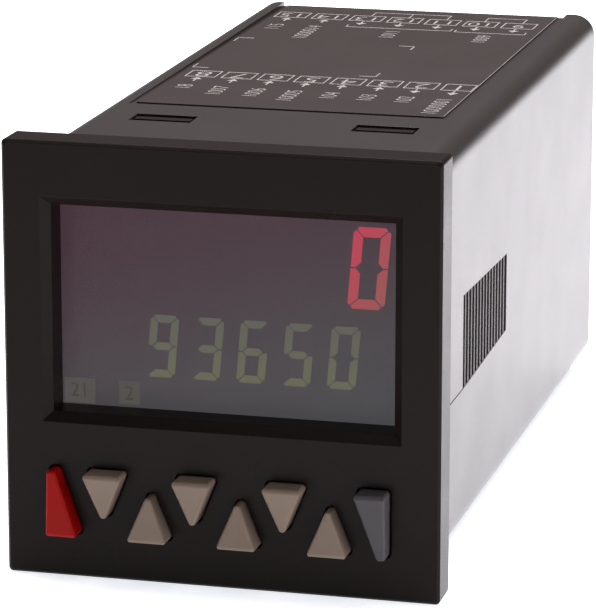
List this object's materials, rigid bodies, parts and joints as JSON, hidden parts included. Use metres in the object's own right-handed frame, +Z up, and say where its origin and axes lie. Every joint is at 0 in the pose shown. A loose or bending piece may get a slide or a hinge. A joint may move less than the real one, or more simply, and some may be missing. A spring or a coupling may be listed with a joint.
{
  "type": "electronic counter",
  "caption": "Square panel-mount preset counter: display window over a row of triangular keys, long vented housing with a label on top, screw terminals at the rear.",
  "frame": {"origin": "middle of the plane where the bezel's rear face seats on the panel", "axes": "+X right across the front, +Y into the panel towards the terminals, +Z up"},
  "size_m": [0.048, 0.103, 0.048],
  "materials": {
    "bezel_plastic": "fine grain, satin",
    "clear_window": "tinted, polished",
    "display_glass": "dark, polished",
    "red_figure": "lit",
    "pale_figure": "faintly lit",
    "marked_tile": "faintly lit",
    "white_diffuser": "satin",
    "circuit_board": "lacquered",
    "switch_case": "satin",
    "housing_plastic": "fine grain, satin",
    "label_film": "printed film",
    "black_moulding": "satin",
    "gilt_contact": "plated",
    "relay_case": "satin",
    "capacitor_sleeve": "shrunk sleeve",
    "ferrite": "ground",
    "winding": "taped",
    "bright_can": "drawn",
    "terminal_plastic": "satin",
    "clamp_brass": "plated",
    "screw_steel": "zinc plated",
    "red_key": "satin",
    "grey_key": "satin",
    "sand_key": "satin",
    "plunger_plastic": "satin"
  },
  "bodies": {
    "case": {"front_bezel": "bezel_plastic", "display_window": "clear_window", "lcd_panel": "display_glass", "count_digit": "red_figure", "preset_digits": "pale_figure", "status_tiles": "marked_tile", "backlight": "white_diffuser", "display_board": "circuit_board", "key_switches": "switch_case", "housing": "housing_plastic", "top_label": "label_film", "power_board": "circuit_board", "logic_board": "circuit_board", "board_headers": "black_moulding", "header_pins": "gilt_contact", "relay_1": "relay_case", "relay_2": "relay_case", "supply_capacitor": "capacitor_sleeve", "transformer_core": "ferrite", "transformer_bobbin": "winding", "regulator": "black_moulding", "microcontroller": "black_moulding", "input_couplers": "black_moulding", "clock_crystal": "bright_can", "upper_terminal_block": "terminal_plastic", "lower_terminal_block": "terminal_plastic", "upper_terminal_clamps": "clamp_brass", "lower_terminal_clamps": "clamp_brass", "upper_terminal_screws": "screw_steel", "lower_terminal_screws": "screw_steel"},
    "reset_key_body": {"reset_key": "red_key", "reset_plunger": "plunger_plastic"},
    "digit_key_1_body": {"digit_key_1": "sand_key", "digit_plunger_1": "plunger_plastic"},
    "digit_key_2_body": {"digit_key_2": "sand_key", "digit_plunger_2": "plunger_plastic"},
    "digit_key_3_body": {"digit_key_3": "sand_key", "digit_plunger_3": "plunger_plastic"},
    "digit_key_4_body": {"digit_key_4": "sand_key", "digit_plunger_4": "plunger_plastic"},
    "digit_key_5_body": {"digit_key_5": "sand_key", "digit_plunger_5": "plunger_plastic"},
    "digit_key_6_body": {"digit_key_6": "sand_key", "digit_plunger_6": "plunger_plastic"},
    "mode_key_body": {"mode_key": "grey_key", "mode_plunger": "plunger_plastic"}
  },
  "joints": [
    {"name": "reset_key_press", "type": "slide", "parent": "case", "child": "reset_key_body", "axis": [0, 1, 0], "range_m": [0, 0.0007], "stiffness_N_per_m": 1200},
    {"name": "digit_key_1_press", "type": "slide", "parent": "case", "child": "digit_key_1_body", "axis": [0, 1, 0], "range_m": [0, 0.0007], "stiffness_N_per_m": 1200},
    {"name": "digit_key_2_press", "type": "slide", "parent": "case", "child": "digit_key_2_body", "axis": [0, 1, 0], "range_m": [0, 0.0007], "stiffness_N_per_m": 1200},
    {"name": "digit_key_3_press", "type": "slide", "parent": "case", "child": "digit_key_3_body", "axis": [0, 1, 0], "range_m": [0, 0.0007], "stiffness_N_per_m": 1200},
    {"name": "digit_key_4_press", "type": "slide", "parent": "case", "child": "digit_key_4_body", "axis": [0, 1, 0], "range_m": [0, 0.0007], "stiffness_N_per_m": 1200},
    {"name": "digit_key_5_press", "type": "slide", "parent": "case", "child": "digit_key_5_body", "axis": [0, 1, 0], "range_m": [0, 0.0007], "stiffness_N_per_m": 1200},
    {"name": "digit_key_6_press", "type": "slide", "parent": "case", "child": "digit_key_6_body", "axis": [0, 1, 0], "range_m": [0, 0.0007], "stiffness_N_per_m": 1200},
    {"name": "mode_key_press", "type": "slide", "parent": "case", "child": "mode_key_body", "axis": [0, 1, 0], "range_m": [0, 0.0007], "stiffness_N_per_m": 1200}
  ]
}
